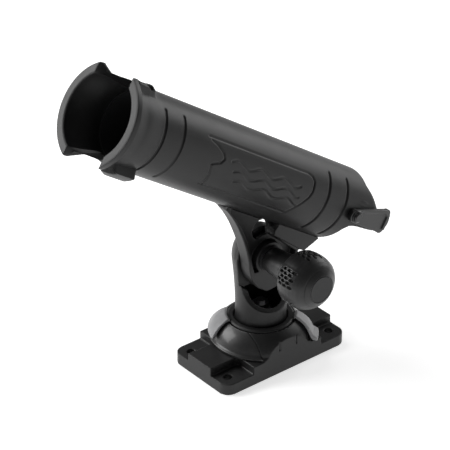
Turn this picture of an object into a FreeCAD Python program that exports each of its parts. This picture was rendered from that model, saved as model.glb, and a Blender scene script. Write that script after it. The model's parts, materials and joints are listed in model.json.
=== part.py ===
import FreeCAD, Part
import math
import os
import Sketcher

# Clamp-on rod holder: a tube on a tilting saddle, a one-armed yoke and a quick-release deck socket.
# Millimetres. Origin: centre of the base's underside. +X along the base, +Z up, the knob faces -Y
# and the mouth of the tube points to -X and up. The tube's own frame has +Z towards the mouth
# and +X towards the tube's top.

doc = FreeCAD.newDocument("rod_holder")
V = FreeCAD.Vector

# ---------------------------------------------------------------- driving dimensions
DIMENSIONS = {
    # base
    "plate_len": 98.0, "plate_wid": 53.0, "plate_thk": 7.7, "plate_corner": 7.0,
    "deck_top": 13.0, "deck_end_wid": 22.0, "pad_len": 21.7,
    "hole_gap_len": 82.0, "hole_gap_wid": 36.0, "hole_rad": 2.75,
    "socket_rad": 14.55, "socket_wall_rad": 18.0, "socket_top": 25.0,
    "cover_rad": 20.0, "cover_thk": 2.4,
    # shroud and cheeks
    "shroud_rad": 32.0, "shroud_top": 27.3, "shroud_lip_rad": 21.6, "shroud_wall": 2.6,
    "cheek_half": 19.0, "seam": 0.12,
    # lock ring
    "ring_in_rad": 17.0, "ring_out_rad": 21.0, "ring_bottom": 25.4, "ring_top": 28.3,
    "lever_thk": 2.4, "lever_gap": 0.6, "lever_foot": 13.7,
    "long_start": -54.0, "long_sweep": 20.0, "short_start": 127.0, "short_sweep": 38.0,
    # yoke
    "column_rad": 16.0, "column_bottom": 26.2, "column_bore": 12.6, "column_floor": 31.0,
    "pivot_height": 72.0, "arm_rad": 18.0, "arm_face": 1.2, "arm_back": 17.0,
    "slot_rad": 24.2, "scoop_rad": 21.0,
    # saddle and tube
    "tongue_rad": 23.2, "tongue_front": -8.2, "tongue_back": 0.6,
    "core_floor": -3.2, "boss_rad": 10.5, "window_rad": 6.5,
    "tilt": 33.5, "tube_rad": 24.2, "bore_rad": 20.9, "mouth_rad": 30.9, "mouth_u": 142.5,
    "rear_u": -90.0, "axis_height": 125.2, "liner_thk": 1.0,
    # pivot hardware
    "bolt_rad": 4.0, "bolt_hole_rad": 4.05, "washer_rad": 8.4, "washer_thk": 1.6,
    "knob_front": -55.5, "knob_back": -31.0, "knob_rad": 17.9,
    "teeth_rad": 13.0, "tooth_high": 0.7, "disc_pitch": 1.6, "disc_cone": 1.05, "disc_thk": 0.5,
    # butt latch
    "latch_u": -63.0, "latch_len": 30.0, "pin_rad": 2.0,
}

sheet = doc.addObject("Spreadsheet::Sheet", "dimensions")
for row, (alias, number) in enumerate(DIMENSIONS.items(), start=1):
    sheet.set("A%d" % row, alias)
    sheet.set("B%d" % row, "%.4f" % number)
    sheet.setAlias("B%d" % row, alias)
doc.recompute()


class Size:
    """A length that knows its number and the sheet expression it comes from."""

    def __init__(self, number, text):
        self.number = float(number)
        self.text = text

    @staticmethod
    def of(thing):
        return thing if isinstance(thing, Size) else Size(thing, "%.6g" % thing)

    def join(self, sign, other, number):
        return Size(number, "(%s %s %s)" % (self.text, sign, other.text))

    def __add__(self, other):
        other = Size.of(other)
        return self.join("+", other, self.number + other.number)

    def __sub__(self, other):
        other = Size.of(other)
        return self.join("-", other, self.number - other.number)

    def __mul__(self, other):
        other = Size.of(other)
        return self.join("*", other, self.number * other.number)

    def __truediv__(self, other):
        other = Size.of(other)
        return self.join("/", other, self.number / other.number)

    def __radd__(self, other):
        return Size.of(other) + self

    def __rsub__(self, other):
        return Size.of(other) - self

    def __rmul__(self, other):
        return Size.of(other) * self

    def __neg__(self):
        return Size(-self.number, "(0 - %s)" % self.text)

    def __float__(self):
        return self.number


class Sheet:
    """Gives each alias of the spreadsheet as a Size."""

    def __getattr__(self, alias):
        return Size(sheet.get(alias), "dimensions." + alias)


q = Sheet()


def bind(thing, prop, size):
    """Tie a property to a size, so that it follows the sheet."""
    thing.setExpression(prop, Size.of(size).text)


def place(thing, at=(0, 0, 0), turn=None):
    """Put an object: turn is an (axis, degrees) pair, at holds three sizes."""
    if turn:
        thing.Placement = FreeCAD.Placement(V(0, 0, 0), FreeCAD.Rotation(V(*turn[0]), float(turn[1])))
    for letter, size in zip("xyz", at):
        bind(thing, "Placement.Base." + letter, size)
    return thing


TO_MINUS_Y = ((1, 0, 0), 90)
TO_PLUS_Y = ((1, 0, 0), -90)


def cylinder(radius, height, at=(0, 0, 0), turn=None):
    thing = doc.addObject("Part::Cylinder", "cylinder")
    bind(thing, "Radius", radius)
    bind(thing, "Height", height)
    return place(thing, at, turn)


def box(size, at):
    thing = doc.addObject("Part::Box", "box")
    for prop, length in zip(("Length", "Width", "Height"), size):
        bind(thing, prop, length)
    return place(thing, at)


def boolean(kind, base, tools):
    thing = doc.addObject("Part::" + kind, kind.lower())
    if kind in ("MultiFuse", "MultiCommon"):
        thing.Shapes = [base] + list(tools)
    else:
        thing.Base = base
        thing.Tool = tools
    return thing


def fuse(*things):
    return boolean("MultiFuse", things[0], things[1:])


def common(*things):
    return boolean("MultiCommon", things[0], things[1:])


def cut(base, *tools):
    return boolean("Cut", base, tools[0] if len(tools) == 1 else fuse(*tools))


def draw(sketch, outline):
    """Draw a closed outline: (x, y) ends a straight run, (x, y, mx, my) ends an arc through m."""
    geometry = []
    corners = [point[:2] for point in outline]
    for index, point in enumerate(outline):
        start = V(float(corners[index - 1][0]), float(corners[index - 1][1]), 0)
        end = V(float(point[0]), float(point[1]), 0)
        if len(point) == 4:
            middle = V(float(point[2]), float(point[3]), 0)
            geometry.append(Part.ArcOfCircle(start, middle, end))
        else:
            geometry.append(Part.LineSegment(start, end))
    numbers = sketch.addGeometry(geometry, False)
    ends = []
    for number, point in zip(numbers, outline):
        target = V(float(point[0]), float(point[1]), 0)
        near = sketch.getPoint(number, 2).distanceToPoint(target) < 1e-6
        ends.append((1, 2) if near else (2, 1))
    for index, number in enumerate(numbers):
        before = numbers[index - 1]
        sketch.addConstraint(Sketcher.Constraint("Coincident", before, ends[index - 1][1],
                                                 number, ends[index][0]))
    for index, (number, point) in enumerate(zip(numbers, outline)):
        pin_point(sketch, number, ends[index][1], point[0], point[1])
        if len(point) == 4:
            marker = sketch.addGeometry(Part.Point(V(float(point[2]), float(point[3]), 0)), True)
            pin_point(sketch, marker, 1, point[2], point[3])
            sketch.addConstraint(Sketcher.Constraint("PointOnObject", marker, 1, number))


def pin_point(sketch, geometry, vertex, *where):
    """Tie a point of the sketch to its two coordinates."""
    for kind, coordinate in zip(("DistanceX", "DistanceY"), where):
        size = Size.of(coordinate)
        number = sketch.addConstraint(Sketcher.Constraint(kind, -1, 1, geometry, vertex, size.number))
        if isinstance(coordinate, Size):
            sketch.setExpression("Constraints[%d]" % number, size.text)


def new_body(name, plane, outline):
    body = doc.addObject("PartDesign::Body", name)
    sketch = add_sketch(body, plane, outline)
    return body, sketch


def add_sketch(body, plane, *outlines):
    sketch = body.newObject("Sketcher::SketchObject", body.Name + "_sketch")
    role = plane + "_Plane"
    origin_plane = [item for item in body.Origin.OriginFeatures if item.Role == role][0]
    sketch.AttachmentSupport = [(origin_plane, "")]
    sketch.MapMode = "FlatFace"
    for outline in outlines:
        draw(sketch, outline)
    return sketch


def turned(name, outline, at=(0, 0, 0), turn=None):
    """A solid of revolution about the body's Z axis from (radius, height) corners."""
    body, sketch = new_body(name, "XZ", outline)
    spin = body.newObject("PartDesign::Revolution", name + "_turn")
    spin.Profile = sketch
    spin.ReferenceAxis = (sketch, ["V_Axis"])
    spin.Angle = 360
    return place(body, at, turn)


def slab(name, outline, height, at=(0, 0, 0), turn=None):
    """A flat piece: an XY outline padded up Z."""
    body, sketch = new_body(name, "XY", outline)
    pad = body.newObject("PartDesign::Pad", name + "_pad")
    pad.Profile = sketch
    bind(pad, "Length", height)
    return place(body, at, turn)


def side_slab(name, outline, height, at=(0, 0, 0), turn=None):
    """A flat piece drawn in XZ and padded towards -Y."""
    body, sketch = new_body(name, "XZ", outline)
    pad = body.newObject("PartDesign::Pad", name + "_pad")
    pad.Profile = sketch
    bind(pad, "Length", height)
    return place(body, at, turn)


def ring_profile(inner, outer, low, high):
    return [(inner, low), (outer, low), (outer, high), (inner, high)]


def rounded_rectangle(length, width, radius):
    """Corner arcs joined by straight runs, centred on the origin."""
    x, y = length / 2, width / 2
    bulge = radius * (1 - math.sqrt(0.5))
    return [
        (x, y - radius), (x - radius, y, x - bulge, y - bulge),
        (radius - x, y), (-x, y - radius, bulge - x, y - bulge),
        (-x, radius - y), (radius - x, -y, bulge - x, bulge - y),
        (x - radius, -y), (x, radius - y, x - bulge, bulge - y),
    ]


def group(*things):
    """Several separate solids in one node."""
    thing = doc.addObject("Part::Compound", "group")
    thing.Links = list(things)
    return thing


def prism(circumradius, height, at=(0, 0, 0), turn=None):
    """A hexagonal prism."""
    thing = doc.addObject("Part::Prism", "prism")
    thing.Polygon = 6
    bind(thing, "Circumradius", circumradius)
    bind(thing, "Height", height)
    return place(thing, at, turn)


def four_corners(spread_x, spread_y):
    """The four points of a rectangle centred on the origin."""
    return [(spread_x * i, spread_y * j) for i in (1, -1) for j in (1, -1)]


def screw(length, shank_rad, head_rad, head_high, at, socket_rad):
    """A pan-headed screw driven upwards, with a hexagonal socket in its head."""
    outline = [(0, 0), (head_rad, 0), (head_rad, head_high), (shank_rad, head_high),
               (shank_rad, length), (0, length)]
    blank = turned("screw_blank", outline)
    return place(cut(blank, prism(socket_rad, head_high / 2)), at)


SHROUD_SCREWS = four_corners(24.0, 12.5)
COVER_SCREWS = four_corners(33.0, 10.0)
SCREW_RAD = 1.5
SCREW_HOLE = 1.6
SCREW_HEAD = 3.0
UNDER_RECESS = 2.2
HEAD_HIGH = 2.0


def dome_outline(low):
    """Half-section of the solid dome whose skin the shrouds and cheeks share."""
    return [
        (0, low), (q.shroud_rad, low), (q.shroud_rad, low + 1.6),
        (30.6, low + 2.6), (30.0, 16.9),
        (q.shroud_lip_rad, q.shroud_top, 26.6, 22.9), (0, q.shroud_top),
    ]


def base_plate():
    plate = slab("plate_blank", rounded_rectangle(q.plate_len, q.plate_wid, q.plate_corner), q.plate_thk)
    end, shoulder = q.plate_len / 2, q.plate_len / 2 - q.pad_len
    side, rail, corner = q.plate_wid / 2, q.deck_end_wid / 2, 3.0
    soft = corner * (1 - math.sqrt(0.5))
    quarter = [(end, rail), (shoulder + corner, rail),
               (shoulder, rail + corner, shoulder + soft, rail + soft), (shoulder, side)]
    outline = list(quarter)
    outline += [(-shoulder, side), (-shoulder, rail + corner),
                (-shoulder - corner, rail, -shoulder - soft, rail + soft), (-end, rail)]
    outline += [(-end, -rail), (-shoulder - corner, -rail),
                (-shoulder, -rail - corner, -shoulder - soft, -rail - soft), (-shoulder, -side)]
    outline += [(shoulder, -side), (shoulder, -rail - corner),
                (shoulder + corner, -rail, shoulder + soft, -rail - soft), (end, -rail)]
    deck = slab("deck_blank", outline, q.deck_top)
    cheeks = common(
        turned("cheek_dome", dome_outline(q.deck_top - 1)),
        box((2 * q.cheek_half, q.plate_wid, q.shroud_top), (-q.cheek_half, -q.plate_wid / 2, 0)),
    )
    well = turned("ring_well", [
        (0, q.deck_top), (24.2, q.deck_top), (24.2, 22.9), (q.shroud_lip_rad, 22.9),
        (q.shroud_lip_rad, q.shroud_top + 1), (0, q.shroud_top + 1)])
    socket = cylinder(q.socket_wall_rad, q.socket_top)
    solid = fuse(fuse(plate, deck), cut(cheeks, well), socket)
    tools = [turned("socket_bore", [(0, 5.5), (q.socket_rad, 5.5), (q.socket_rad, 23.4),
                                    (16.1, 23.4), (16.1, 30), (0, 30)])]
    for x, y in four_corners(q.hole_gap_len / 2, q.hole_gap_wid / 2):
        tools.append(cylinder(q.hole_rad, q.plate_thk + 2, (x, y, -1)))
    for x, y in SHROUD_SCREWS:
        tools.append(cylinder(SCREW_HOLE, q.deck_top + 1, (x, y, 0)))
        tools.append(cylinder(SCREW_HEAD + 0.2, UNDER_RECESS + HEAD_HIGH + 0.2, (x, y, 0)))
    for x, y in COVER_SCREWS:
        tools.append(cylinder(SCREW_HOLE, 6.4, (x, y, 0)))
    tools.append(slab("cover_recess", rounded_rectangle(76.2, 30.2, 5.1), UNDER_RECESS))
    for x in (-6.4, 6.4):
        tools.append(box((0.8, 1.0, 6.0), (x, -q.plate_wid / 2 - 0.5, 16.4)))
    return cut(solid, *tools)


def dome_shroud():
    """Two mirror-image shells over the ends of the ring, each with two screw bosses."""
    low = q.deck_top + 0.05
    wall = q.shroud_wall
    skin = cut(turned("shroud_skin", dome_outline(low)), cylinder(q.shroud_lip_rad, q.shroud_top + 1))
    hollow = turned("shroud_hollow", [
        (0, 0), (q.shroud_rad - wall, 0), (30.0 - wall, 16.9 - wall / 3),
        (q.shroud_lip_rad - 0.4, q.shroud_top - wall, 25.0, 21.2), (0, q.shroud_top - wall)])
    bosses = []
    holes = []
    for x, y in SHROUD_SCREWS:
        bosses.append(cylinder(3.0, 6.0, (x, y, low)))
        holes.append(cylinder(SCREW_HOLE, 5.0, (x, y, 0)))
        holes[-1].setExpression("Placement.Base.z", low.text)
    shell = cut(fuse(cut(skin, hollow), common(fuse(*bosses), skin)), *holes)
    ends = []
    reach = q.shroud_rad - q.cheek_half
    for x in (q.cheek_half + q.seam, -q.shroud_rad - q.seam):
        ends.append(box((reach, q.plate_wid - 0.1, q.shroud_top), (x, 0.05 - q.plate_wid / 2, 0)))
    return common(shell, fuse(*ends))


def under_cover():
    blank = slab("cover_blank", rounded_rectangle(76, 30, 5), UNDER_RECESS - 0.4, (0, 0, 0.3))
    holes = [cylinder(SCREW_HOLE, UNDER_RECESS, (x, y, 0)) for x, y in COVER_SCREWS]
    heads = [cylinder(SCREW_HEAD + 0.1, 1.2, (x, y, 0)) for x, y in COVER_SCREWS]
    return cut(blank, *(holes + heads))


def cover_screws():
    screws = [screw(6.0, SCREW_RAD, SCREW_HEAD, 0.9, (x, y, 0.3), 1.0) for x, y in COVER_SCREWS]
    return group(*screws)


def shroud_screws():
    return group(*[screw(15.0, SCREW_RAD, SCREW_HEAD, HEAD_HIGH, (x, y, UNDER_RECESS), 1.2)
                   for x, y in SHROUD_SCREWS])


def ring_seal():
    thing = doc.addObject("Part::Torus", "seal")
    bind(thing, "Radius1", q.socket_wall_rad + 0.55)
    thing.Radius2 = 0.5
    return place(thing, (0, 0, 22.0))


def ring_lever(name, band, start, sweep):
    """A thumb lever: its section swept round Z, counter-clockwise from start."""
    body, sketch = new_body(name, "XZ", band)
    spin = body.newObject("PartDesign::Revolution", name + "_turn")
    spin.Profile = sketch
    spin.ReferenceAxis = (sketch, ["V_Axis"])
    bind(spin, "Angle", sweep)
    body.Placement = FreeCAD.Placement(V(0, 0, 0), FreeCAD.Rotation(V(0, 0, 1), float(start)))
    return body


def lock_ring():
    """A collar with a skirt hooked under the cheeks and two thumb levers over the shrouds."""
    collar = turned("ring_collar", [
        (15.2, q.ring_bottom), (q.socket_wall_rad + 1.2, q.ring_bottom), (q.socket_wall_rad + 1.2, 20.4),
        (23.6, 20.4), (23.6, 22.4), (20.8, 22.4), (20.8, q.ring_bottom),
        (q.ring_out_rad, q.ring_bottom + 0.6), (q.ring_out_rad, q.ring_top - 0.8),
        (q.ring_out_rad - 0.8, q.ring_top), (q.ring_in_rad, q.ring_top),
        (q.ring_in_rad, 26.15), (15.2, 26.15)])
    gap, thk = q.lever_gap, q.lever_thk
    root = q.ring_out_rad - 1.5
    top = [(root, q.ring_top - 2.0), (root, q.ring_top), (22.4, q.shroud_top + gap + thk - 0.6)]
    under = (22.0, q.shroud_top + gap, 27.1 + gap, 22.9 + gap)
    long_band = top + [
        (30.2 + gap + thk, 17.6, 28.3 + gap, 23.6 + thk / 2), (36.4, q.lever_foot + 1.8),
        (36.4, q.lever_foot), (33.2, q.lever_foot), (30.4 + gap, 17.2), under]
    short_band = top + [
        (30.2 + gap + thk, 17.6, 28.3 + gap, 23.6 + thk / 2), (30.4 + gap, 17.2), under]
    levers = [
        ring_lever("long_lever", long_band, q.long_start, q.long_sweep),
        ring_lever("short_lever", short_band, q.short_start, q.short_sweep),
    ]
    return fuse(collar, *levers)


def star_spigot():
    outline = [
        (3.3, 5.8), (14.0, 5.8), (14.5, 6.3), (14.5, 23.6), (15.9, 23.6), (15.9, 25.0), (14.8, 25.0),
        (14.8, q.column_bottom), (3.3, q.column_bottom)]
    blank = turned("spigot_blank", outline)
    flutes = []
    for index in range(12):
        angle = math.radians(30 * index)
        flutes.append(cylinder(1.3, 17.0, (15.2 * math.cos(angle), 15.2 * math.sin(angle), 5.0)))
    return cut(blank, *(flutes + [prism(6.2, 5.0, (0, 0, 5.0))]))


def spigot_bolt():
    head = prism(5.8, 4.0, (0, 0, 5.95))
    return fuse(head, cylinder(3.0, 29.2, (0, 0, 9.8)))


def spigot_nut():
    return cut(prism(5.6, 4.8, (0, 0, 32.3)), cylinder(3.05, 8.0, (0, 0, 31.0)))


def spigot_washer():
    return turned("spigot_washer_blank", ring_profile(3.2, 7.5, q.column_floor + 0.05, q.column_floor + 1.2))


def yoke():
    """A hollow column with one tall arm behind the tongue, scooped open at the front."""
    top = q.pivot_height
    column = cylinder(q.column_rad, top - q.column_bottom, (0, 0, q.column_bottom))
    arm = common(
        turned("arm_blank", [
            (0, 38), (q.column_rad, 38), (q.arm_rad, top - 4, q.column_rad + 0.7, top - 18),
            (8, top + 18, 15.4, top + 10), (0, top + 19)]),
        fuse(cylinder(q.arm_rad - 0.5, 40, (0, 20, top), TO_MINUS_Y),
             box((2 * q.arm_rad, 40, top - 38), (-q.arm_rad, -20, 38))),
    )
    solid = fuse(column, arm)
    front = box((60, 40, 60), (-30, q.arm_face - 40, top - 4))
    slot = cylinder(q.slot_rad, 40, (0, q.arm_face, top), TO_MINUS_Y)
    scoop = cylinder(q.scoop_rad, 60, (-30, -22, 58), ((0, 1, 0), 90))
    hollow = turned("column_hollow", [
        (0, q.column_floor), (q.column_bore, q.column_floor), (q.column_bore, 52), (0, 52)])
    bolt_hole = cylinder(3.1, 10, (0, 0, q.column_bottom - 1))
    pivot_hole = cylinder(q.bolt_hole_rad, 40, (0, 20, top), TO_MINUS_Y)
    head_pocket = prism(7.7, 20, (0, 11.7, top), TO_PLUS_Y)
    ratchet_pocket = cylinder(q.teeth_rad + 0.1, 2.05, (0, 3.25, top), TO_MINUS_Y)
    spring_pocket = cylinder(6.8, 6, (0, 7.0, top), TO_MINUS_Y)
    return cut(solid, front, slot, scoop, hollow, bolt_hole, pivot_hole, head_pocket,
               ratchet_pocket, spring_pocket)


def ratchet_disc(name, back, facing):
    """A toothed ring round the pivot: the teeth stand towards facing, which is -1 or 1 along Y."""
    plate = Part.makeCylinder(float(q.teeth_rad), 1.5, V(0, 0, 0), V(0, 0, 1))
    high = float(q.tooth_high)
    inner, outer = 7.4, float(q.teeth_rad) - 0.2
    points = [V(inner, -0.75, 1.4), V(inner, 0.75, 1.4), V(inner, 0, 1.5 + high)]
    tooth = Part.Face(Part.makePolygon(points + points[:1])).extrude(V(outer - inner, 0, 0))
    for index in range(24):
        plate = plate.fuse(tooth.rotated(V(0, 0, 0), V(0, 0, 1), 15 * index))
    plate = plate.cut(Part.makeCylinder(7.2, 9, V(0, 0, -2)))
    thing = doc.addObject("Part::Feature", name)
    thing.Shape = plate.removeSplitter()
    thing.Placement = FreeCAD.Placement(V(0, back, float(q.pivot_height)),
                                        FreeCAD.Rotation(V(1, 0, 0), -90 * facing))
    return thing


def pivot_bolt():
    top = q.pivot_height
    return fuse(prism(7.55, 4.6, (0, 11.8, top), TO_PLUS_Y),
                cylinder(q.bolt_rad, 59.0, (0, 12.0, top), TO_MINUS_Y))


def separating_spring():
    """A stack of disc springs round the bolt that parts the two toothed faces."""
    discs = []
    for i in range(7):
        low = i * q.disc_pitch - 6.7
        inner, outer = (low, low + q.disc_cone) if i % 2 else (low + q.disc_cone, low)
        outline = [(4.3, inner), (6.5, outer), (6.5, outer + q.disc_thk), (4.3, inner + q.disc_thk)]
        discs.append(turned("disc_spring_%d" % i, outline, (0, 0, q.pivot_height), TO_MINUS_Y))
    return group(*discs)


def thrust_washer():
    low = -q.tongue_front + 0.1
    return turned("thrust_washer_blank", ring_profile(q.bolt_hole_rad, q.washer_rad, low, low + q.washer_thk),
                  (0, 0, q.pivot_height), TO_MINUS_Y)


def knob_body():
    back, front, wide = -q.knob_back, -q.knob_front, q.knob_rad
    outline = [
        (4.3, 10.0), (7.8, 10.0), (8.6, 20.0), (10.6, back), (13.4, back + 0.3),
        (wide - 0.2, back + 7, 16.3, back + 3), (wide, back + 13, wide + 0.15, back + 10),
        (11.6, front - 1.4, 15.8, back + 18.8), (9.4, front), (8.6, front), (8.6, front - 1.6),
        (4.3, front - 1.6)]
    blank = turned("knob_blank", outline)
    return place(cut(blank, prism(7.6, 8.2, (0, 0, back + 2))), (0, 0, q.pivot_height), TO_MINUS_Y)


def knob_insert():
    low = -q.knob_back + 2.1
    nut = cut(prism(7.5, 8.0, (0, 0, low)), cylinder(q.bolt_hole_rad, 12, (0, 0, low - 2)))
    return place(nut, (0, 0, q.pivot_height), TO_MINUS_Y)


def knob_cap():
    front = -q.knob_front
    outline = [(0, front - 1.5), (8.5, front - 1.5), (8.5, front - 0.3), (8.1, front), (0, front)]
    return turned("knob_cap_blank", outline, (0, 0, q.pivot_height), TO_MINUS_Y)


def in_tube_frame(thing):
    """Move a piece from the tube's own frame to its tilted place."""
    thing.Placement = FreeCAD.Placement(V(0, 0, 0), FreeCAD.Rotation(V(0, 1, 0), float(q.tilt) - 90))
    bind(thing, "Placement.Base.z", q.axis_height)
    return thing


def pivot_in_tube():
    """The pivot's height over the tube's axis and its place along the tube, in the tube's frame."""
    tilt = math.radians(float(q.tilt))
    drop = q.pivot_height - q.axis_height
    return drop * math.cos(tilt), drop * math.sin(tilt)


def lug(angle, high, low):
    """A rail beside a mouth notch, for a lanyard to hook behind."""
    rail = group(box((high, 4.4, 140.0 - low), (23.6, -2.2, low)))
    rail.Placement = FreeCAD.Placement(V(0, 0, 0), FreeCAD.Rotation(V(0, 0, 1), angle))
    return rail


def rod_tube():
    mouth = q.mouth_u
    outline = [
        (q.bore_rad, q.rear_u), (q.tube_rad - 0.8, q.rear_u), (q.tube_rad, q.rear_u + 0.8), (q.tube_rad, 112),
        (q.tube_rad + 1.3, 128, q.tube_rad + 0.35, 121), (26.9, mouth - 3.9, 26.0, 134),
        (q.mouth_rad - 0.8, mouth - 2.9), (q.mouth_rad, mouth - 1.4), (q.mouth_rad - 0.4, mouth),
        (25.4, mouth), (q.bore_rad, 126, 22.5, 134)]
    blank = turned("tube_blank", outline)
    lugs = [
        lug(angle, high, low)
        for angle, high, low in ((-24, 4.0, 121.0), (-154, 6.2, 113.0))
    ]
    bore = turned("bore_tool", [(0, q.rear_u - 5), (q.bore_rad, q.rear_u - 5), (q.bore_rad, 126),
                                (25.4, mouth, 22.5, 134), (25.4, mouth + 5), (0, mouth + 5)])
    tools = [bore]
    for turn, left, right in ((0, -13.6, 15.6), (180, -11.2, 18.8)):
        notch = [(5, 120.5), (8, 123.5, 7.2, 121.4), (right, mouth + 1), (left, mouth + 1), (-8, 123.5),
                 (-5, 120.5, -7.2, 121.4)]
        body, sketch = new_body("mouth_notch_%d" % turn, "YZ", notch)
        pad = body.newObject("PartDesign::Pad", "notch_pad_%d" % turn)
        pad.Profile = sketch
        pad.Length = 40
        body.Placement = FreeCAD.Placement(V(0, 0, 0), FreeCAD.Rotation(V(0, 0, 1), turn))
        tools.append(body)
    for place_u in (112.2, 96.8, -35.4, -52.9):
        for start in (-145, 40):
            groove = doc.addObject("Part::Torus", "groove")
            bind(groove, "Radius1", q.tube_rad + 0.25)
            groove.Radius2 = 0.85
            groove.Angle3 = 105
            groove.Placement = FreeCAD.Placement(V(0, 0, place_u), FreeCAD.Rotation(V(0, 0, 1), start))
            tools.append(groove)
    rear = [(27, -73), (19, -74.5), (15.5, -79), (9.5, -83.5, 12.8, -81), (-6.3, -88.5, 3.4, -87.6),
            (-6.3, -70), (-11, -63.5, -7.4, -65.9), (-27, -60), (-27, -95), (27, -95)]
    tools.append(side_slab("rear_trim", rear, 80, (0, 40, 0)))
    tools.append(cylinder(q.pin_rad + 0.05, 20, (0, -10, q.latch_u), TO_MINUS_Y))
    return in_tube_frame(cut(fuse(blank, *lugs), *tools))


def tube_liner():
    outer = q.bore_rad - 0.05
    return in_tube_frame(turned("liner_blank", ring_profile(outer - q.liner_thk, outer, -57.0, 119.0)))


def side_view(x, z):
    """A point of the object's side view, in the tube's frame."""
    tilt = math.radians(float(q.tilt))
    rise = z - float(q.axis_height)
    return x * math.sin(tilt) + rise * math.cos(tilt), rise * math.sin(tilt) - x * math.cos(tilt)


def seen_from_side(points):
    """An outline drawn in the object's side view, carried into the tube's frame."""
    outline = []
    for point in points:
        place_at = side_view(*point[:2])
        outline.append(place_at + side_view(*point[2:]) if len(point) == 4 else place_at)
    return outline


def saddle():
    """The web under the tube: a flared front plate that runs down into the tongue, cored from the
    knob's side, and a gusset with a flat panel behind."""
    high, along = pivot_in_tube()
    web = side_slab("web_blank", [
        (-17.0, -62.0), (-23.4, -62.0), (-33.0, -54.5), (-34.6, -47.0), (high, along - 16),
        (high, along + 16.5),
        (-27.4, 11.5, -34.0, -2.0), (-23.4, 24.0, -26.0, 17.5), (-17.0, 24.0)], 17.2, (0, 9.0, 0))
    plate = side_slab("front_plate", seen_from_side([
        (-30.0, 122.0), (-34.0, 117.1), (-23.1, 97.2, -29.5, 110.4), (-16.3, 73.2, -19.0, 85.5),
        (-9.0, 53.8, -14.6, 63.5), (-2.3, 48.92), (23.2, 72.0, 16.4, 55.6), (20.0, 95.0)]),
        q.tongue_back - q.tongue_front, (0, q.tongue_back, 0))
    panel = side_slab("panel_blank", seen_from_side([
        (5.6, 92.5), (1.0, 88.4), (26.9, 67.3), (38.8, 71.6), (34.0, 90.0), (9.0, 102.0)]),
        2.0, (0, q.tongue_front + 1.2, 0))
    sweep = cylinder(q.tongue_rad + 0.4, 30, (high, q.tongue_back + 30, along), TO_MINUS_Y)
    arm_side_trim = box((36, 12, 30), (-61.5, q.tongue_back, -75.5))
    core = side_slab("core_tool", seen_from_side([
        (-31.0, 117.0), (-30.8, 114.0), (-20.2, 96.2, -26.2, 107.6), (-13.7, 73.2, -16.3, 85.0),
        (-12.2, 66.0), (18.0, 62.0), (21.0, 69.5), (0.4, 88.4), (5.6, 92.5), (8.0, 104.0)]),
        10.0, (0, q.core_floor, 0))
    window_high, window_along = side_view(-3.4, 91.0)
    window = cut(cylinder(q.window_rad, 20, (window_high, 10, window_along), TO_MINUS_Y),
                 cylinder(14.4, 30, (high, 15, along), TO_MINUS_Y))
    boss = cylinder(q.boss_rad, q.core_floor - q.tongue_front, (high, q.core_floor, along), TO_MINUS_Y)
    solid = fuse(cut(fuse(cut(web, sweep, arm_side_trim), plate, panel), core, window), boss)
    tools = [
        turned("tube_clearance", [(0, -100), (q.tube_rad + 0.03, -100), (q.tube_rad + 0.03, 100), (0, 100)]),
        cylinder(q.bolt_hole_rad, 60, (high, 30, along), TO_MINUS_Y),
        cylinder(6.8, 6.2, (high, q.tongue_back + 0.2, along), TO_MINUS_Y),
        cylinder(q.teeth_rad + 0.1, 3.0, (high, q.tongue_back - 2.05 + 3.0, along), TO_MINUS_Y),
    ]
    return in_tube_frame(cut(solid, *tools))


def latch_lever():
    """A fan-shaped thumb lever against the side of the tube, at the butt end."""
    u = q.latch_u
    outline = [
        (-3.8, u + 3.0), (3.8, u + 3.0, 0, u + 5.0), (6.0, u - 6), (10.6, u - 24),
        (8.0, u - 28.6, 10.8, u - 27.0),
        (-1.6, u - 28.8, 3.4, u - 30.2), (-4.6, u - 24, -4.4, u - 27.4), (-4.2, u - 6)]
    plate = side_slab("lever_blank", outline, 2.6, (0, -25.2, 0))
    boss = cylinder(4.0, 1.2, (0, -27.7, u), TO_MINUS_Y)
    return in_tube_frame(cut(fuse(plate, boss), cylinder(q.pin_rad + 0.05, 10, (0, -22, u), TO_MINUS_Y)))


def latch_pin():
    """Drawn along +Z from inside the tube outwards, then laid along -Y."""
    outline = [
        (0, 12.4), (1.9, 12.4), (q.pin_rad, 12.6), (q.pin_rad, 13.4), (1.5, 13.4), (1.5, 14.4),
        (q.pin_rad, 14.4), (q.pin_rad, 28.95), (3.2, 28.95), (3.2, 29.6), (2.4, 30.3), (0, 30.3)]
    blank = turned("pin_blank", outline)
    holder = group(place(blank, (0, 0, q.latch_u), TO_MINUS_Y))
    return in_tube_frame(holder)


def latch_washer():
    blank = turned("washer_blank", ring_profile(q.pin_rad + 0.05, 4.2, 24.35, 25.1),
                   (0, 0, q.latch_u), TO_MINUS_Y)
    return in_tube_frame(group(blank))


def butt_cam():
    """A finger inside the bore that turns with the lever and stops the rod's butt."""
    u, hole_rad = q.latch_u, q.pin_rad + 0.05
    hub = cylinder(3.6, 5.4, (0, -14.6, u), TO_MINUS_Y)
    finger = box((4.4, 2.8, 12.0), (-2.2, -17.4, u - 12.0))
    return in_tube_frame(cut(fuse(hub, finger), cylinder(hole_rad, 12, (0, -10, u), TO_MINUS_Y)))


def cam_clip():
    blank = turned("clip_blank", ring_profile(1.55, 3.2, 13.5, 14.3), (0, 0, q.latch_u), TO_MINUS_Y)
    slot = box((3.0, 4.0, 6.0), (-1.5, -16.0, q.latch_u - 6.0))
    return in_tube_frame(cut(blank, slot))


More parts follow.
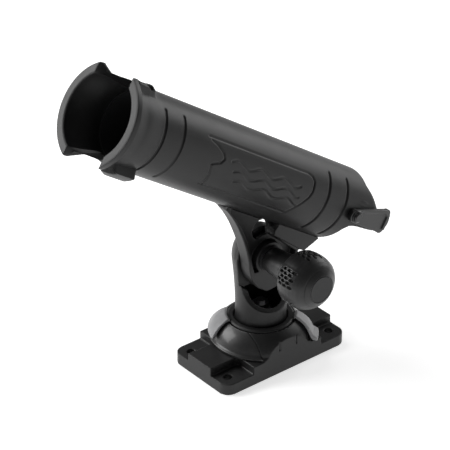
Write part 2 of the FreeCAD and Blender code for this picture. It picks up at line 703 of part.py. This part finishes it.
NODES = {
    "base_plate": base_plate, "dome_shroud": dome_shroud, "under_cover": under_cover,
    "cover_screws": cover_screws, "shroud_screws": shroud_screws, "ring_seal": ring_seal,
    "lock_ring": lock_ring, "star_spigot": star_spigot, "spigot_bolt": spigot_bolt,
    "spigot_nut": spigot_nut, "spigot_washer": spigot_washer, "yoke": yoke,
    "arm_ratchet": lambda: ratchet_disc("arm_teeth", 3.2, -1),
    "saddle_ratchet": lambda: ratchet_disc("saddle_teeth", -1.4, 1),
    "pivot_bolt": pivot_bolt, "separating_spring": separating_spring, "thrust_washer": thrust_washer,
    "knob_body": knob_body, "knob_insert": knob_insert, "knob_cap": knob_cap,
    "rod_tube": rod_tube, "tube_liner": tube_liner, "saddle": saddle, "latch_lever": latch_lever,
    "latch_pin": latch_pin, "latch_washer": latch_washer, "butt_cam": butt_cam, "cam_clip": cam_clip,
}


def build():
    made = {}
    for label, make in NODES.items():
        made[label] = make()
        made[label].Label = label
    doc.recompute()
    faults = [item.Label for item in doc.Objects if "Invalid" in item.State or "Error" in item.State]
    if faults:
        raise RuntimeError("failed objects: " + ", ".join(faults))
    for label, thing in made.items():
        if thing.Shape.isNull() or not thing.Shape.isValid():
            raise RuntimeError("bad shape: " + label)
    return made


os.makedirs("parts", exist_ok=True)
for label, thing in build().items():
    thing.Shape.exportStep("parts/%s.step" % label)
    print(label, "%.0f mm3" % thing.Shape.Volume, "solids", len(thing.Shape.Solids))
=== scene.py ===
import json
import math

import bpy
import numpy as np
from mathutils import Matrix, Vector


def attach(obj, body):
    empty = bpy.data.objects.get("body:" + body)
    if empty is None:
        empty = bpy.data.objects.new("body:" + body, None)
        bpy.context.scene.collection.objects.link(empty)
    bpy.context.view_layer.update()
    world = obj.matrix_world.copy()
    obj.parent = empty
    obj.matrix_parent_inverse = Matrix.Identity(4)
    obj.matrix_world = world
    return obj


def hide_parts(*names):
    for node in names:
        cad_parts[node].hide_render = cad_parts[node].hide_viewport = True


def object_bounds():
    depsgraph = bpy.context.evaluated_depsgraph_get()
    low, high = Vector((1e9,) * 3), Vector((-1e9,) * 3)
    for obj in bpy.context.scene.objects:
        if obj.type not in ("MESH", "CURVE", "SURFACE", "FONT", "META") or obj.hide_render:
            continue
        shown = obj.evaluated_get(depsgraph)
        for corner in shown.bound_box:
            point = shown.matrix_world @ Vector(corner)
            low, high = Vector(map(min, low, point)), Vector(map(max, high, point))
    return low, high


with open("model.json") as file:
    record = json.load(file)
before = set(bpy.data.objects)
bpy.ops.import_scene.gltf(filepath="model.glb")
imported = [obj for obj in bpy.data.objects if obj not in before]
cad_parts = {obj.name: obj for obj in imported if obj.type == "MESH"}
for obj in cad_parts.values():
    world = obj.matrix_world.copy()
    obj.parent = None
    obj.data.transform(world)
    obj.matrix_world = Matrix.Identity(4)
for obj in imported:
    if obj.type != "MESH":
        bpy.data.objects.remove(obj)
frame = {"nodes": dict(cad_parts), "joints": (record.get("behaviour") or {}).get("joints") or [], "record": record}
cad_low, cad_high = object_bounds()

MM = 0.001
record = frame["record"]
mounts = {mount["name"]: mount for mount in record["mounts"]}
joints = {joint["name"]: joint for joint in frame["joints"]}

# The tube's own frame: z along the bore towards the mouth, x towards the tube's top.
BORE_AXIS = Vector(mounts["rod_bore"]["axis"])
BORE_POINT = Vector(mounts["rod_bore"]["pos_m"])
TUBE_ORIGIN = BORE_POINT - BORE_AXIS * (BORE_POINT.x / BORE_AXIS.x)
TUBE_TOP = Vector((BORE_AXIS.z, 0, -BORE_AXIS.x))
TUBE = Matrix((
    (TUBE_TOP.x, 0, BORE_AXIS.x, TUBE_ORIGIN.x),
    (TUBE_TOP.y, 1, BORE_AXIS.y, TUBE_ORIGIN.y),
    (TUBE_TOP.z, 0, BORE_AXIS.z, TUBE_ORIGIN.z),
    (0, 0, 0, 1)))

# The knob's frame: z along the pivot towards the cap, x towards the rear of the base.
PIVOT = Vector(joints["tube_tilt"]["pos_m"])
KNOB = Matrix(((1, 0, 0, PIVOT.x), (0, 0, -1, 0), (0, 1, 0, PIVOT.z), (0, 0, 0, 1)))


# ---------------------------------------------------------------- mesh helpers
def new_piece(name, points, faces, place=None):
    """A mesh object from points in millimetres, moved by place."""
    mesh = bpy.data.meshes.new(name)
    mesh.from_pydata([tuple(point) for point in np.asarray(points) * MM], [], faces)
    if place is not None:
        mesh.transform(place)
    mesh.update()
    piece = bpy.data.objects.new(name, mesh)
    bpy.context.scene.collection.objects.link(piece)
    return piece


def shade(piece, sharp_degrees=None):
    mesh = piece.data
    mesh.shade_smooth()
    if sharp_degrees:
        mesh.set_sharp_from_angle(angle=math.radians(sharp_degrees))


def finish_piece(piece, body, slot, material, *nodes):
    piece.data.materials.clear()
    piece.data.materials.append(material)
    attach(piece, body)
    if nodes:
        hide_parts(*nodes)
    return piece


def apply_modifiers(piece):
    graph = bpy.context.evaluated_depsgraph_get()
    mesh = bpy.data.meshes.new_from_object(piece.evaluated_get(graph))
    piece.modifiers.clear()
    piece.data = mesh


def moulded(name, node, voxel, rounds):
    """A copy of a CAD node with the soft edges of a moulding: remeshed, then smoothed."""
    piece = bpy.data.objects.new(name, frame["nodes"][node].data.copy())
    bpy.context.scene.collection.objects.link(piece)
    remesh = piece.modifiers.new("remesh", "REMESH")
    remesh.mode = "VOXEL"
    remesh.voxel_size = voxel * MM
    smooth = piece.modifiers.new("soften", "SMOOTH")
    smooth.factor = 0.5
    smooth.iterations = rounds
    apply_modifiers(piece)
    shade(piece)
    return piece


def spaced(*runs):
    """Stations along several runs of (start, stop, step), shared ends once."""
    stations = []
    for start, stop, step in runs:
        count = max(1, round(abs(stop - start) / step))
        stations += list(np.linspace(start, stop, count, endpoint=False))
    return np.array(stations + [runs[-1][1]])


def loop_faces(columns, rows):
    """Quads of a grid that closes both round its columns and along its rows."""
    faces = []
    for column in range(columns):
        after = (column + 1) % columns
        for row in range(rows):
            up = (row + 1) % rows
            faces.append((column * rows + row, column * rows + up, after * rows + up, after * rows + row))
    return faces


def smooth_step(x, low, high):
    t = np.clip((x - low) / (high - low), 0, 1)
    return t * t * (3 - 2 * t)


def distance_to_path(x, y, path):
    """Distance of each (x, y) from a path of straight runs."""
    best = np.full(np.shape(x), 1e9)
    for (ax, ay), (bx, by) in zip(path[:-1], path[1:]):
        dx, dy = bx - ax, by - ay
        t = np.clip(((x - ax) * dx + (y - ay) * dy) / (dx * dx + dy * dy), 0, 1)
        best = np.minimum(best, np.hypot(x - ax - t * dx, y - ay - t * dy))
    return best


def cut_line(distance, half_width, soft):
    """1 in the bed of an engraved line, falling to 0 at its edges."""
    return 1 - smooth_step(distance, half_width - soft, half_width + soft)


# ---------------------------------------------------------------- materials
def new_material(name):
    material = bpy.data.materials.new(name)
    material.use_nodes = True
    return material, material.node_tree, material.node_tree.nodes["Principled BSDF"]


def add_node(tree, kind, **values):
    """A shader node with values on its sockets; an underscore stands for a space in a socket's name."""
    node = tree.nodes.new("ShaderNode" + kind)
    for socket, value in values.items():
        node.inputs[socket.replace("_", " ")].default_value = value
    return node


def join(tree, source, output, node, socket):
    tree.links.new(source.outputs[output], node.inputs[socket])


def add_polish(tree, shader, pattern, low, high):
    """Let a pattern move the roughness between two values."""
    polish = add_node(tree, "MapRange", To_Min=low, To_Max=high)
    join(tree, pattern, "Fac", polish, "Value")
    join(tree, polish, "Result", shader, "Roughness")


def add_bump(tree, shader, pattern, strength, depth):
    bump = add_node(tree, "Bump", Strength=strength, Distance=depth * MM)
    join(tree, pattern, "Fac", bump, "Height")
    join(tree, bump, "Normal", shader, "Normal")


def add_tones(tree, pattern, dark, light):
    """A colour ramp from dark to light, each a (position, colour)."""
    tones = add_node(tree, "ValToRGB")
    for element, (position, colour) in zip(tones.color_ramp.elements, (dark, light)):
        element.position = position
        element.color = (*colour, 1)
    join(tree, pattern, "Fac", tones, "Fac")
    return tones


def plastic(name, tone, roughness, grain, grain_depth, coat=0.0, specular=0.5):
    """Moulded plastic: a dark base with faint mottling, a painted highlight that makes convex edges paler, and a
    fine spark-eroded grain.
    """
    material, tree, shader = new_material(name)
    place = add_node(tree, "TexCoord")
    mottle = add_node(tree, "TexNoise", Scale=90, Detail=5, Roughness=0.6)
    join(tree, place, "Object", mottle, "Vector")
    colours = add_tones(tree, mottle, (0.3, (tone * 0.82, tone * 0.82, tone * 0.84)),
                        (0.72, (tone * 1.18, tone * 1.18, tone * 1.2)))
    # Painted highlight: convex edges, found by pointiness, are mixed towards a paler tone in the base colour.
    shape = add_node(tree, "NewGeometry")
    edge = add_node(tree, "MapRange", From_Min=0.53, From_Max=0.62, To_Max=0.6)
    join(tree, shape, "Pointiness", edge, "Value")
    painted_edge_highlight = tree.nodes.new("ShaderNodeMix")
    painted_edge_highlight.data_type = "RGBA"
    painted_edge_highlight.inputs["B"].default_value = (tone * 2.2 + 0.01, tone * 2.2 + 0.01, tone * 2.2 + 0.012, 1)
    join(tree, edge, "Result", painted_edge_highlight, "Factor")
    join(tree, colours, "Color", painted_edge_highlight, "A")
    join(tree, painted_edge_highlight, "Result", shader, "Base Color")
    add_polish(tree, shader, mottle, roughness - 0.05, roughness + 0.06)
    fine = add_node(tree, "TexNoise", Scale=grain, Detail=3)
    join(tree, place, "Object", fine, "Vector")
    add_bump(tree, shader, fine, 0.6, grain_depth)
    shader.inputs["Specular IOR Level"].default_value = specular
    shader.inputs["Coat Weight"].default_value = coat
    shader.inputs["Coat Roughness"].default_value = 0.12
    return material


def metal(name, colour, roughness, stretch):
    """Turned or drawn metal: fine streaks in roughness and bump, and a slow change of tone."""
    material, tree, shader = new_material(name)
    place = add_node(tree, "TexCoord")
    mapping = add_node(tree, "Mapping", Scale=stretch)
    join(tree, place, "Object", mapping, "Vector")
    streaks = add_node(tree, "TexNoise", Scale=400, Detail=4)
    join(tree, mapping, "Vector", streaks, "Vector")
    tones = add_tones(tree, streaks, (0, [c * 0.86 for c in colour]), (1, [min(1, c * 1.1) for c in colour]))
    join(tree, tones, "Color", shader, "Base Color")
    add_polish(tree, shader, streaks, roughness - 0.07, roughness + 0.09)
    add_bump(tree, shader, streaks, 0.3, 0.02)
    shader.inputs["Metallic"].default_value = 1.0
    return material


def rubber(name, tone):
    return plastic(name, tone, 0.78, 900, 0.05, specular=0.25)


MATERIALS = {
    "black_nylon": plastic("satin_nylon", 0.013, 0.44, 1500, 0.05, specular=0.36),
    "gloss_black": plastic("polished_black", 0.014, 0.4, 1100, 0.012, coat=0.25),
    "knob_black": plastic("knob_nylon", 0.018, 0.4, 1500, 0.04, specular=0.45),
    "ring_grey": plastic("ring_nylon", 0.27, 0.4, 1500, 0.03),
    "liner_rubber": rubber("liner_rubber", 0.008),
    "seal_rubber": rubber("seal_rubber", 0.015),
    "stainless": metal("stainless", (0.62, 0.62, 0.63), 0.3, (1, 1, 7)),
    "brass": metal("brass", (0.78, 0.6, 0.28), 0.28, (1, 7, 1)),
}

for part in record["subparts"]:
    data = frame["nodes"][part["node"]].data
    data.materials.clear()
    data.materials.append(MATERIALS[part["material_slot"]])


# ---------------------------------------------------------------- tube
# Radii and places along the tube in millimetres; angles round it in degrees from the top.
TUBE_RAD = 24.2
BORE_RAD = 20.9
MOUTH_IN_RAD = 25.4
MOUTH_U = 142.5
GROOVES = (112.2, 96.8, -35.4, -52.9)
LATCH_U = -63.0
GROOVE_FROM, GROOVE_TO = 40, 145
RIM_GROOVE = 136.9

# Corners of the panel's outline as (place along the tube, angle round it from the top, degrees).
PANEL = [
    [(76, 55.5), (-14.5, 55.5), (-18.4, 58.5), (-20.6, 65), (-20.6, 78), (-19, 88), (-16.5, 97),
     (-8.5, 124.3), (68, 125.3)],
    [(73.5, 59.5), (68, 64), (62.4, 72), (60.6, 79), (62.5, 85), (68.4, 90), (69.6, 92),
     (66.5, 106), (64.5, 124.6)],
]
CHEVRON = [(-69.2, 72.5), (-71.2, 66), (-73.2, 72.5)]


def round_angle(points):
    """(u, degrees) to (u, arc length) on the tube's skin."""
    return [(u, math.radians(angle) * TUBE_RAD) for u, angle in points]


WAVE_ANGLES = (78, 91, 104)
WAVE_SWING = 3.6
WAVE_LENGTH = 21
WAVE_POINTS = 43


def waves():
    """Three rolling waves, a plain water motif, along the middle of the panel."""
    lines = []
    for row, angle in enumerate(WAVE_ANGLES):
        start, stop = 54 - 4 * row, -9 - 1.5 * row
        line = []
        for u in np.linspace(start, stop, WAVE_POINTS):
            swing = WAVE_SWING * math.sin((u - start) * 2 * math.pi / WAVE_LENGTH)
            line.append((u, angle + swing))
        lines.append(line)
    return lines


def skin_relief(u, angle):
    """How far the tube's skin stands off its plain radius: grooves, panel, motif and chevron."""
    side = np.abs(angle)
    arc = np.radians(side) * TUBE_RAD
    height = np.zeros(u.shape)
    low, high = math.radians(GROOVE_FROM) * TUBE_RAD, math.radians(GROOVE_TO) * TUBE_RAD
    for groove in GROOVES:
        past_end = np.maximum(np.maximum(low + 0.9 - arc, arc - high + 0.9), 0)
        height -= 0.75 * cut_line(np.hypot(u - groove, past_end), 0.95, 0.3)
    for path in PANEL:
        height -= 0.6 * cut_line(distance_to_path(u, arc, round_angle(path)), 0.55, 0.3)
    for path in waves():
        height -= 0.5 * cut_line(distance_to_path(u, arc, round_angle(path)), 0.65, 0.3)
    height -= 0.6 * cut_line(np.abs(u - RIM_GROOVE), 0.6, 0.25)
    height += 0.5 * cut_line(distance_to_path(u, arc, round_angle(CHEVRON)), 0.5, 0.3)
    return height


def flare(u):
    """Outer radius along the tube: straight, a slow swell, then the rim's bead."""
    swell = 1.3 * smooth_step(u, 112, 128) + 1.5 * smooth_step(u, 127, 139)
    bead = 3.9 * smooth_step(u, 137.4, 139.2)
    return TUBE_RAD + swell + bead


TOP_RAIL_ANGLE, LOW_RAIL_ANGLE = 22.5, 150.5
RAIL_RAD = 27
LOW_RAIL_TOP = 30.3


def lug_relief(u, angle, plain):
    """The rails beside the notches on the knob's side: a pocket in the top one, a scoop in the low one."""
    side = np.where(angle > 0, angle, 90.0)
    top = (side - TOP_RAIL_ANGLE) * math.radians(1) * RAIL_RAD
    near_end = smooth_step(u, 117.5, 123.0)
    rail = near_end * (1 - smooth_step(np.abs(top) + 0.12 * np.maximum(126 - u, 0), 2.2, 4.6))
    height = rail * np.maximum(28.6 + 0.07 * (u - 120) - plain, 0)
    pocket = (1 - smooth_step(np.hypot((u - 125.5) / 1.5, top - 0.6), 1.2, 2.2)) * (side < 90)
    height -= 2.6 * pocket
    low = (side - LOW_RAIL_ANGLE) * math.radians(1) * RAIL_RAD
    block = smooth_step(u, 111.8, 113.2) * (1 - smooth_step(np.abs(low), 3.6, 4.6))
    height = np.maximum(height, block * (LOW_RAIL_TOP - plain))
    scoop = (1 - smooth_step(np.hypot((u - 133.5) / 3.2, low + 3.0), 1.0, 2.0)) * (side > 90)
    return height - 2.2 * scoop


# How far each notch reaches at the rim, from the middle: (away from the knob, towards the knob).
TOP_NOTCH = (15.6, 13.6)
LOW_NOTCH = (11.2, 18.8)


def notch_floor(across, top):
    """Where the wall ends at the mouth: the rim, or the floor of the notch at the top or bottom."""
    far, near = TOP_NOTCH if top else LOW_NOTCH
    reach = near if across > 0 else far
    wall = np.interp(abs(across), [0, 5, 6.6, 7.6, 8.2, reach], [120.5, 120.5, 121, 122, 123.6, MOUTH_U])
    return np.minimum(wall, MOUTH_U)


def rear_edge(height):
    """Where the wall ends at the butt, from its height over the axis."""
    heights = [-30, -24.2, -17, -11, -7.6, -6.3, -5.6, 1, 6, 10, 13, 15.5, 19, 24.2]
    places = [-59.6, -60.6, -62.2, -63.6, -66.5, -71, -88, -87.9, -86.1, -83.1, -80.8, -78.6, -74.6, -73.2]
    return np.interp(height, heights, places)


def bore_flare(u):
    """Inner radius along the tube."""
    return BORE_RAD + (MOUTH_IN_RAD - BORE_RAD) * smooth_step(u, 122, MOUTH_U)


# Steps across the rim's face as (share of the wall from outside, how far back from the face).
RIM_STEPS = ((0.0, 0.12), (0.09, 0.0), (0.3, 0.0), (0.5, 0.0), (0.7, 0.0), (0.9, 0.0), (1.0, 0.4))


def tube_section(angle):
    """One column of the tube's wall at an angle: out along the skin, over the rim, back inside."""
    wrapped = (angle + 180) % 360 - 180
    turn = math.radians(angle)
    across, up = math.sin(turn), math.cos(turn)
    rear_share = spaced((0.06, 1, 0.11))
    middle = spaced((-57, -31, 0.5), (-31, -22.4, 1.2), (-22.4, 78, 0.55), (78, 95, 1.4), (95, 114, 0.5))
    mouth_share = spaced((0, 0.97, 0.011))
    rear_out = rear_edge(up * TUBE_RAD)
    u_rear = rear_out + rear_share * (middle[0] - rear_out)
    front_out = notch_floor(across * 30, up > 0)
    front_skin = notch_floor(across * 26.5, up > 0)
    front = front_out if front_out > 140 else front_skin
    u_front = middle[-1] + mouth_share * (front - middle[-1])
    u = np.concatenate([u_rear[:-1], middle[:-1], u_front])
    angles = np.full(u.shape, wrapped)
    plain = flare(u)
    r = plain + skin_relief(u, angles) + lug_relief(u, angles, plain)
    skin = np.stack([u, r], axis=1)
    wall_out, wall_in = r[-1], bore_flare(np.array([front]))[0]
    rim = []
    for share, back in RIM_STEPS:
        radius = wall_out + (wall_in - wall_out) * share
        end = notch_floor(across * radius, up > 0)
        rim.append((end - back, radius - (0.12 if share == 0 else 0)))
    inner_share = spaced((0.03, 1, 0.08))
    rim_end = notch_floor(across * wall_in, up > 0)
    u_in = np.concatenate([rim_end + inner_share * (118 - rim_end), spaced((112, -52, 12))])
    inner = np.stack([u_in, bore_flare(u_in)], axis=1)
    rear_in = rear_edge(up * BORE_RAD)
    closing = [(rear_in + 0.5, BORE_RAD), (rear_in, BORE_RAD + 0.5),
               ((rear_in + rear_out) / 2, (TUBE_RAD + BORE_RAD) / 2), (rear_out, TUBE_RAD - 0.5)]
    return np.concatenate([skin, np.array(rim), inner, np.array(closing)])


def make_tube():
    angles = spaced((-130, -50, 1.0), (-50, -33, 1.6), (-33, -15, 0.9), (-15, 15, 2.0), (15, 33, 0.9),
                    (33, 50, 1.6), (50, 130, 1.0), (130, 142, 1.5), (142, 168, 0.9), (168, 192, 2.0),
                    (192, 218, 0.9), (218, 230, 1.5))[:-1]
    points = []
    for angle in angles:
        section = tube_section(angle)
        turn = math.radians(angle)
        u, r = section[:, 0], section[:, 1]
        points.append(np.stack([r * math.cos(turn), -r * math.sin(turn), u], axis=1))
    rows = len(points[0])
    piece = new_piece("tube_moulding", np.concatenate(points), loop_faces(len(angles), rows), TUBE)
    shade(piece, 50)
    return finish_piece(piece, "cradle", "black_nylon", MATERIALS["black_nylon"], "rod_tube")


# ---------------------------------------------------------------- knob
KNOB_TURNED = 28
KNOB_COLUMNS = 420
KNOB_STEP = 0.45
PADS = 5
PAD_RAD = 17.6
SLOT_COLUMNS = ((-4.8, 37.6), (-2.4, 35.7), (0, 37.6), (2.4, 35.7), (4.8, 37.6))
SLOT_PITCH = 4.0
CAP_GROOVE = 53.6

# The knob's outline as (place along the pivot, radius).
KNOB_PROFILE = [
    (10.0, 4.3), (10.0, 7.5), (10.3, 7.9), (15, 8.25), (20, 8.7), (26, 9.7), (30.2, 10.7), (31.2, 12.2),
    (31.5, 13.6), (32.4, 15.0), (34, 16.4), (36, 17.3), (39, 17.85), (42, 17.95), (45, 17.7), (47.6, 16.9),
    (49.8, 15.7), (51.8, 14.0), (53.4, 12.2), (54.6, 10.4), (55.2, 9.5), (55.45, 8.9), (55.2, 8.55),
    (54.2, 8.5), (54.2, 4.3)]


def knob_relief(along, angle):
    """Five grip pads, each with staggered rows of slots, and shallow valleys between them."""
    phase = (angle / 360 * PADS) % 1 - 0.5
    arc = phase * 2 * math.pi * PAD_RAD / PADS
    barrel = smooth_step(along, 33, 36) * (1 - smooth_step(along, 47, 51))
    height = 0.35 * barrel * (1 - smooth_step(np.abs(arc), 4.9, 7.6)) - 0.35 * barrel
    for column, start in SLOT_COLUMNS:
        for row in range(3):
            reach = np.maximum(np.abs(along - start - SLOT_PITCH * row) - 0.75, 0)
            height -= 1.6 * cut_line(np.hypot(arc - column, reach), 0.72, 0.3)
    return height - 0.8 * cut_line(np.abs(along - CAP_GROOVE), 0.35, 0.3)


def make_knob():
    stations = [KNOB_PROFILE[0]]
    for (a, ra), (b, rb) in zip(KNOB_PROFILE[:-1], KNOB_PROFILE[1:]):
        count = max(1, round(math.hypot(b - a, rb - ra) / KNOB_STEP))
        stations += [(a + (b - a) * i / count, ra + (rb - ra) * i / count) for i in range(1, count + 1)]
    along = np.array([s[0] for s in stations])
    radius = np.array([s[1] for s in stations])
    points = []
    for column in range(KNOB_COLUMNS):
        angle = 360 * column / KNOB_COLUMNS
        r = radius + knob_relief(along, np.full(along.shape, angle + KNOB_TURNED)) * (radius > 12)
        turn = math.radians(angle)
        points.append(np.stack([r * math.sin(turn), r * math.cos(turn), along], axis=1))
    piece = new_piece("knob_moulding", np.concatenate(points), loop_faces(KNOB_COLUMNS, len(along)), KNOB)
    shade(piece, 50)
    return finish_piece(piece, "knob", "knob_black", MATERIALS["knob_black"], "knob_body")


# ---------------------------------------------------------------- mouldings with soft edges
COLLAR_RAD = 21.3


def blacken_collar(piece):
    """The lock ring's collar is black, and only its levers are grey."""
    piece.data.materials.append(MATERIALS["black_nylon"])
    for face in piece.data.polygons:
        if math.hypot(face.center.x, face.center.y) < COLLAR_RAD * MM:
            face.material_index = 1


MARK_X = 6.8
MARK_HALF = 0.45
MARK_DEPTH = 0.9
MARK_LOW, MARK_HIGH = 16.4, 22.6
WALL_FACE = -25.8


def cut_marks(piece):
    """Sink the two upright marks on the side wall that the ring's levers turn between."""
    for vertex in piece.data.vertices:
        x, y, z = vertex.co / MM
        if y < WALL_FACE and MARK_LOW < z < MARK_HIGH and abs(abs(x) - MARK_X) < MARK_HALF:
            vertex.co.y += MARK_DEPTH * MM


SOCKET_NEAR, SOCKET_FAR = 12.0, 16.4
SOCKET_LOW, SOCKET_HIGH = 5.2, 25.2
SOCKET_CLEARANCE = 0.3


def clear_socket(piece):
    """Open the socket's wall a little, so that the softened mesh stays clear of the spigot."""
    for vertex in piece.data.vertices:
        radius = math.hypot(vertex.co.x, vertex.co.y) / MM
        if SOCKET_NEAR < radius < SOCKET_FAR and SOCKET_LOW < vertex.co.z / MM < SOCKET_HIGH:
            vertex.co.x *= 1 + SOCKET_CLEARANCE / radius
            vertex.co.y *= 1 + SOCKET_CLEARANCE / radius


LEVER_FACE = -27.4
LEVER_EDGE = [(4.4, LATCH_U + 2), (5.2, LATCH_U - 6), (9.2, LATCH_U - 23.6), (7.4, LATCH_U - 27),
              (-1.2, LATCH_U - 27.4)]
FLANGE_HIGH = 1.0


def raise_lever_edge(piece):
    """A flange along the butt lever's top edge and round its tip, on the outer face."""
    for vertex in piece.data.vertices:
        if vertex.co.y < LEVER_FACE * MM:
            away = (vertex.co - TUBE_ORIGIN) / MM
            height, u = np.array([away.dot(TUBE_TOP)]), np.array([away.dot(BORE_AXIS)])
            edge = 1 - smooth_step(distance_to_path(height, u, LEVER_EDGE), 0.9, 1.5)
            vertex.co.y -= float(edge[0]) * FLANGE_HIGH * MM


# Each moulding as (name, CAD node, body, voxel in millimetres, rounds of smoothing).
MOULDINGS = (
    ("base_moulding", "base_plate", "base", 0.4, 4),
    ("shroud_moulding", "dome_shroud", "base", 0.35, 5),
    ("ring_moulding", "lock_ring", "ring", 0.35, 5),
    ("yoke_moulding", "yoke", "swivel", 0.4, 5),
    ("saddle_moulding", "saddle", "cradle", 0.36, 4),
    ("lever_moulding", "latch_lever", "latch", 0.25, 4))


def make_mouldings():
    slots = {part["node"]: part["material_slot"] for part in record["subparts"]}
    for name, node, body, voxel, rounds in MOULDINGS:
        piece = moulded(name, node, voxel, rounds)
        finish_piece(piece, body, slots[node], MATERIALS[slots[node]], node)
        if node == "base_plate":
            cut_marks(piece)
            clear_socket(piece)
        if node == "lock_ring":
            blacken_collar(piece)
        if node == "latch_lever":
            raise_lever_edge(piece)


make_tube()
make_knob()
make_mouldings()


# ---------------------------------------------------------------- stage, light and camera
FLOOR_HALF = 8.0
FLOOR_GLOW = 0.62

# Each soft box as (name, azimuth, elevation, side in metres, power in watts).
SOFTBOXES = (("right_panel", 92, 22, 0.6, 3.4), ("left_back_panel", 222, 22, 0.6, 7.0),
             ("back_panel", 180, 52, 0.6, 3.2))


def make_floor():
    size = FLOOR_HALF
    points = [(-size, -size, 0), (size, -size, 0), (size, size, 0), (-size, size, 0)]
    floor = new_piece("floor", np.array(points) / MM, [(0, 1, 2, 3)])
    material = bpy.data.materials.new("pale_floor")
    material.use_nodes = True
    shader = material.node_tree.nodes["Principled BSDF"]
    shader.inputs["Base Color"].default_value = (0.9, 0.9, 0.9, 1)
    shader.inputs["Roughness"].default_value = 0.9
    shader.inputs["Specular IOR Level"].default_value = 0.1
    shader.inputs["Emission Color"].default_value = (1, 1, 1, 1)
    shader.inputs["Emission Strength"].default_value = FLOOR_GLOW
    floor.data.materials.append(material)


def softbox(name, place, target, size, power):
    light = bpy.data.lights.new(name, "AREA")
    light.shape = "SQUARE"
    light.size = size
    light.energy = power
    holder = bpy.data.objects.new(name, light)
    bpy.context.scene.collection.objects.link(holder)
    holder.location = place
    holder.rotation_euler = (Vector(target) - Vector(place)).to_track_quat("-Z", "Y").to_euler()


def make_lights():
    world = bpy.data.worlds.new("studio")
    bpy.context.scene.world = world
    world.use_nodes = True
    world.node_tree.nodes["Background"].inputs["Color"].default_value = (1, 1, 1, 1)
    world.node_tree.nodes["Background"].inputs["Strength"].default_value = 0.12
    centre = (cad_low + cad_high) / 2
    for name, azimuth, elevation, size, power in SOFTBOXES:
        turn, rise = math.radians(azimuth), math.radians(elevation)
        away = Vector((math.sin(turn) * math.cos(rise), -math.cos(turn) * math.cos(rise), math.sin(rise)))
        softbox(name, centre + away, centre, size, power)


def make_camera():
    """A long lens, looking down on the knob's side from the mouth's end."""
    azimuth, elevation, distance = math.radians(-39.18), math.radians(29.97), 1.25702
    back = Vector((math.sin(azimuth) * math.cos(elevation), -math.cos(azimuth) * math.cos(elevation),
                   math.sin(elevation)))
    right = Vector((math.cos(azimuth), math.sin(azimuth), 0))
    up = back.cross(right)
    target = right * -0.02215 + up * 0.07923
    lens = bpy.data.cameras.new("camera")
    lens.lens = 160
    lens.sensor_width = 36
    holder = bpy.data.objects.new("camera", lens)
    bpy.context.scene.collection.objects.link(holder)
    holder.location = target + back * distance
    holder.rotation_euler = Matrix((right, up, back)).transposed().to_euler()
    bpy.context.scene.camera = holder


make_floor()
make_lights()
make_camera()
bpy.context.scene.view_settings.view_transform = "Standard"
